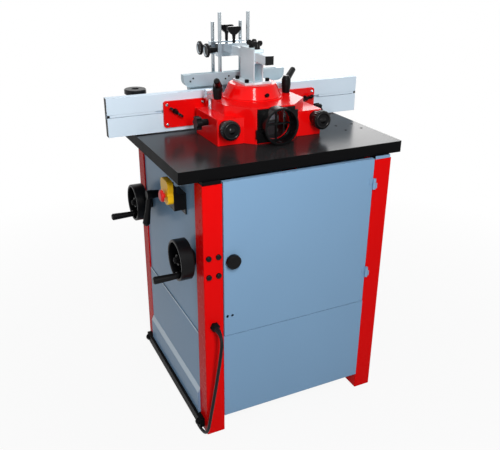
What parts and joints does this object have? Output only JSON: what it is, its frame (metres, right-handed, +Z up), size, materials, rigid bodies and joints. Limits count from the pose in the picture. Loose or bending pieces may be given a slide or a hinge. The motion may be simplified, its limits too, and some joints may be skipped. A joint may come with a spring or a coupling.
{
  "type": "spindle moulder",
  "caption": "Spindle moulder on a sheet-steel cabinet: cast table with rising spindle, sliding cutter hood with split fence, dust port and pressure shoes, belt drive behind a hinged door.",
  "frame": {"origin": "on the floor, under the middle of the machine's box, its loose cord left out", "axes": "+Z up; +X along the door side to the right as seen from the door; +Y from the door side to the operator's side"},
  "size_m": [0.896, 0.6835, 1.241],
  "materials": {
    "red_paint": "gloss red enamel",
    "blue_grey_paint": "satin blue-grey enamel",
    "table_iron": "ground dark grey top, black edges",
    "machined_iron": "machined, oiled",
    "steel": "turned and ground steel",
    "rod_chrome": "bright plated rod and shoe",
    "fence_aluminium": "anodised extrusion",
    "column_aluminium": "raw extrusion",
    "black_plastic": "moulded black",
    "black_paint": "black enamel",
    "motor_paint": "dark grey enamel",
    "yellow_plastic": "moulded yellow",
    "red_plastic": "moulded red",
    "rubber": "black rubber"
  },
  "bodies": {
    "machine_frame": {"corner_posts": "red_paint", "control_panel_upper": "blue_grey_paint", "control_panel_lower": "blue_grey_paint", "cabinet_panels": "blue_grey_paint", "frame_fittings": "black_paint", "table": "table_iron", "table_ring": "steel", "quill_housing": "machined_iron", "drive_frame": "black_paint", "switch_box": "black_plastic", "drive_belt": "rubber", "mains_cord": "rubber", "cord_coil": "rubber", "mains_plug": "black_plastic"},
    "quill_body": {"quill": "steel", "quill_bearings": "steel"},
    "spindle_body": {"spindle": "steel", "spindle_rings": "steel"},
    "motor_carriage": {"motor_plate": "machined_iron", "motor": "motor_paint"},
    "hood_body": {"hood": "red_paint", "dust_port": "black_plastic", "column": "column_aluminium", "hood_bolts": "black_paint", "guard_post": "rod_chrome"},
    "arm_body": {"pressure_arm": "column_aluminium", "pressure_heads": "rod_chrome"},
    "door": {"door": "blue_grey_paint"},
    "door_latch": {"door_latch": "black_plastic"},
    "height_wheel": {"height_wheel": "black_plastic"},
    "height_grip": {"height_grip": "black_plastic"},
    "lift_screw": {"lift_screw": "steel"},
    "spindle_pulley": {"spindle_pulley": "machined_iron"},
    "lock_lever": {"lock_lever": "black_plastic"},
    "tension_wheel": {"tension_wheel": "black_plastic"},
    "tension_grip": {"tension_grip": "black_plastic"},
    "motor_pulley": {"motor_pulley": "steel"},
    "clamp_lever_left": {"clamp_lever_left": "black_plastic"},
    "clamp_lever_right": {"clamp_lever_right": "black_plastic"},
    "fence_carrier_left": {"fence_carrier_left": "red_paint"},
    "fence_carrier_right": {"fence_carrier_right": "red_paint"},
    "fine_knob_left": {"fine_knob_left": "black_plastic"},
    "fine_knob_right": {"fine_knob_right": "black_plastic"},
    "star_knob_left": {"star_knob_left": "black_plastic"},
    "star_knob_right": {"star_knob_right": "black_plastic"},
    "fence_plate_left": {"fence_plate_left": "fence_aluminium"},
    "fence_plate_right": {"fence_plate_right": "fence_aluminium"},
    "wing_knob_left": {"wing_knob_left": "black_plastic"},
    "wing_knob_right": {"wing_knob_right": "black_plastic"},
    "arm_screw_far": {"arm_screw_far": "black_plastic"},
    "arm_screw_near": {"arm_screw_near": "black_plastic"},
    "tee_knob_near": {"tee_knob_near": "black_plastic"},
    "tee_knob_far": {"tee_knob_far": "black_plastic"},
    "disc_knob_near": {"disc_knob_near": "black_plastic"},
    "disc_knob_far": {"disc_knob_far": "black_plastic"},
    "top_shoe": {"top_shoe": "rod_chrome"},
    "side_shoe": {"side_shoe": "rod_chrome"},
    "switch_lid": {"switch_lid": "yellow_plastic"},
    "stop_button": {"stop_button": "red_plastic"},
    "mitre_gauge": {"mitre_gauge": "black_plastic"}
  },
  "joints": [
    {"name": "door_swing", "type": "hinge", "parent": "machine_frame", "child": "door", "pos_m": [0.2605, -0.3029, 0.6], "axis": [0, 0, 1], "range_deg": [0, 110]},
    {"name": "door_latch_turn", "type": "hinge", "parent": "door", "child": "door_latch", "pos_m": [-0.2147, -0.2976, 0.608], "axis": [0, -1, 0], "range_deg": [0, 90]},
    {"name": "quill_lift", "type": "slide", "parent": "machine_frame", "child": "quill_body", "axis": [0, 0, 1], "range_m": [-0.03, 0.05]},
    {"name": "spindle_spin", "type": "hinge", "parent": "quill_body", "child": "spindle_body", "pos_m": [0, 0.0219, 0.7], "axis": [0, 0, 1], "continuous": true},
    {"name": "height_wheel_turn", "type": "hinge", "parent": "machine_frame", "child": "height_wheel", "pos_m": [-0.3025, 0.1969, 0.63], "axis": [1, 0, 0], "range_deg": [-2160, 3600]},
    {"name": "lift_screw_turn", "type": "hinge", "parent": "machine_frame", "child": "lift_screw", "pos_m": [0, 0.1969, 0.5], "axis": [0, 0, -1], "range_deg": [-2160, 3600]},
    {"name": "height_grip_spin", "type": "hinge", "parent": "height_wheel", "child": "height_grip", "pos_m": [-0.4035, 0.20725, 0.58518], "axis": [1, 0, 0], "continuous": true},
    {"name": "lock_lever_turn", "type": "hinge", "parent": "machine_frame", "child": "lock_lever", "pos_m": [-0.3025, 0.0899, 0.692], "axis": [1, 0, 0], "range_deg": [-75, 15]},
    {"name": "motor_slide", "type": "slide", "parent": "machine_frame", "child": "motor_carriage", "axis": [1, 0, 0], "range_m": [-0.02, 0], "deforming": ["drive_belt"]},
    {"name": "tension_wheel_turn", "type": "hinge", "parent": "machine_frame", "child": "tension_wheel", "pos_m": [-0.3025, -0.2021, 0.593], "axis": [1, 0, 0], "range_deg": [0, 3600]},
    {"name": "tension_grip_spin", "type": "hinge", "parent": "tension_wheel", "child": "tension_grip", "pos_m": [-0.3955, -0.21632, 0.54925], "axis": [1, 0, 0], "continuous": true},
    {"name": "motor_spin", "type": "hinge", "parent": "motor_carriage", "child": "motor_pulley", "pos_m": [0.184, -0.0681, 0.5], "axis": [0, 0, 1], "continuous": true},
    {"name": "spindle_pulley_spin", "type": "hinge", "parent": "machine_frame", "child": "spindle_pulley", "pos_m": [0, 0.0219, 0.46], "axis": [0, 0, 1], "continuous": true},
    {"name": "hood_slide", "type": "slide", "parent": "machine_frame", "child": "hood_body", "axis": [0, 1, 0], "range_m": [-0.02, 0.02]},
    {"name": "clamp_left_turn", "type": "hinge", "parent": "hood_body", "child": "clamp_lever_left", "pos_m": [-0.12, 0.0179, 1], "axis": [0, 0, 1], "range_deg": [-90, 90]},
    {"name": "clamp_right_turn", "type": "hinge", "parent": "hood_body", "child": "clamp_lever_right", "pos_m": [0.12, 0.0179, 1], "axis": [0, 0, 1], "range_deg": [-90, 90]},
    {"name": "carrier_left_slide", "type": "slide", "parent": "hood_body", "child": "fence_carrier_left", "axis": [0, 1, 0], "range_m": [-0.005, 0.015]},
    {"name": "fine_left_turn", "type": "hinge", "parent": "hood_body", "child": "fine_knob_left", "pos_m": [-0.153, -0.1131, 0.946], "axis": [0, -1, 0], "range_deg": [-900, 2700]},
    {"name": "star_left_turn", "type": "hinge", "parent": "hood_body", "child": "star_knob_left", "pos_m": [-0.177, -0.0381, 0.947], "axis": [-1, 0, 0], "range_deg": [0, 360]},
    {"name": "fence_left_slide", "type": "slide", "parent": "fence_carrier_left", "child": "fence_plate_left", "axis": [1, 0, 0], "range_m": [-0.08, 0.04]},
    {"name": "wing_left_turn", "type": "hinge", "parent": "fence_carrier_left", "child": "wing_knob_left", "pos_m": [-0.235, 0.0972, 0.957], "axis": [0, -1, 0], "range_deg": [0, 180]},
    {"name": "carrier_right_slide", "type": "slide", "parent": "hood_body", "child": "fence_carrier_right", "axis": [0, 1, 0], "range_m": [-0.005, 0.015]},
    {"name": "fine_right_turn", "type": "hinge", "parent": "hood_body", "child": "fine_knob_right", "pos_m": [0.153, -0.1131, 0.946], "axis": [0, -1, 0], "range_deg": [-900, 2700]},
    {"name": "star_right_turn", "type": "hinge", "parent": "hood_body", "child": "star_knob_right", "pos_m": [0.177, -0.0381, 0.947], "axis": [1, 0, 0], "range_deg": [0, 360]},
    {"name": "fence_right_slide", "type": "slide", "parent": "fence_carrier_right", "child": "fence_plate_right", "axis": [1, 0, 0], "range_m": [-0.04, 0.08]},
    {"name": "wing_right_turn", "type": "hinge", "parent": "fence_carrier_right", "child": "wing_knob_right", "pos_m": [0.235, 0.0972, 0.957], "axis": [0, -1, 0], "range_deg": [0, 180]},
    {"name": "arm_slide", "type": "slide", "parent": "hood_body", "child": "arm_body", "axis": [0, 1, 0], "range_m": [0, 0.06]},
    {"name": "arm_screw_far_turn", "type": "hinge", "parent": "hood_body", "child": "arm_screw_far", "pos_m": [0, 0.0279, 1.147], "axis": [0, 0, 1], "range_deg": [0, 180]},
    {"name": "arm_screw_near_turn", "type": "hinge", "parent": "hood_body", "child": "arm_screw_near", "pos_m": [0, -0.0121, 1.147], "axis": [0, 0, 1], "range_deg": [0, 180]},
    {"name": "tee_knob_near_turn", "type": "hinge", "parent": "arm_body", "child": "tee_knob_near", "pos_m": [0, 0.1599, 1.125], "axis": [0, 0, 1], "range_deg": [0, 90]},
    {"name": "disc_knob_near_turn", "type": "hinge", "parent": "arm_body", "child": "disc_knob_near", "pos_m": [-0.061, 0.1599, 1.125], "axis": [-1, 0, 0], "range_deg": [0, 360]},
    {"name": "tee_knob_far_turn", "type": "hinge", "parent": "arm_body", "child": "tee_knob_far", "pos_m": [0, 0.2189, 1.125], "axis": [0, 0, 1], "range_deg": [0, 90]},
    {"name": "disc_knob_far_turn", "type": "hinge", "parent": "arm_body", "child": "disc_knob_far", "pos_m": [-0.061, 0.2189, 1.125], "axis": [-1, 0, 0], "range_deg": [0, 360]},
    {"name": "top_shoe_slide", "type": "slide", "parent": "arm_body", "child": "top_shoe", "axis": [0, 0, 1], "range_m": [-0.09, 0.02]},
    {"name": "side_shoe_slide", "type": "slide", "parent": "arm_body", "child": "side_shoe", "axis": [0, 0, 1], "range_m": [-0.05, 0.02]},
    {"name": "lid_swing", "type": "hinge", "parent": "machine_frame", "child": "switch_lid", "pos_m": [-0.3398, -0.1311, 0.8115], "axis": [0, 1, 0], "range_deg": [0, 100]},
    {"name": "stop_press", "type": "slide", "parent": "switch_lid", "child": "stop_button", "axis": [1, 0, 0], "range_m": [0, 0.004], "stiffness_N_per_m": 1200},
    {"name": "gauge_slide", "type": "slide", "parent": "machine_frame", "child": "mitre_gauge", "axis": [1, 0, 0], "range_m": [-0.03, 0.03]}
  ],
  "couplings": [
    {"joint": "height_wheel_turn", "follows": "quill_lift", "rad_per_m": 1256.6},
    {"joint": "lift_screw_turn", "follows": "quill_lift", "rad_per_m": 1256.6},
    {"joint": "tension_wheel_turn", "follows": "motor_slide", "rad_per_m": -3141.6},
    {"joint": "spindle_spin", "follows": "motor_spin", "ratio": 1.2222},
    {"joint": "spindle_pulley_spin", "follows": "motor_spin", "ratio": 1.2222},
    {"joint": "fine_left_turn", "follows": "carrier_left_slide", "rad_per_m": 3141.6},
    {"joint": "fine_right_turn", "follows": "carrier_right_slide", "rad_per_m": 3141.6}
  ]
}
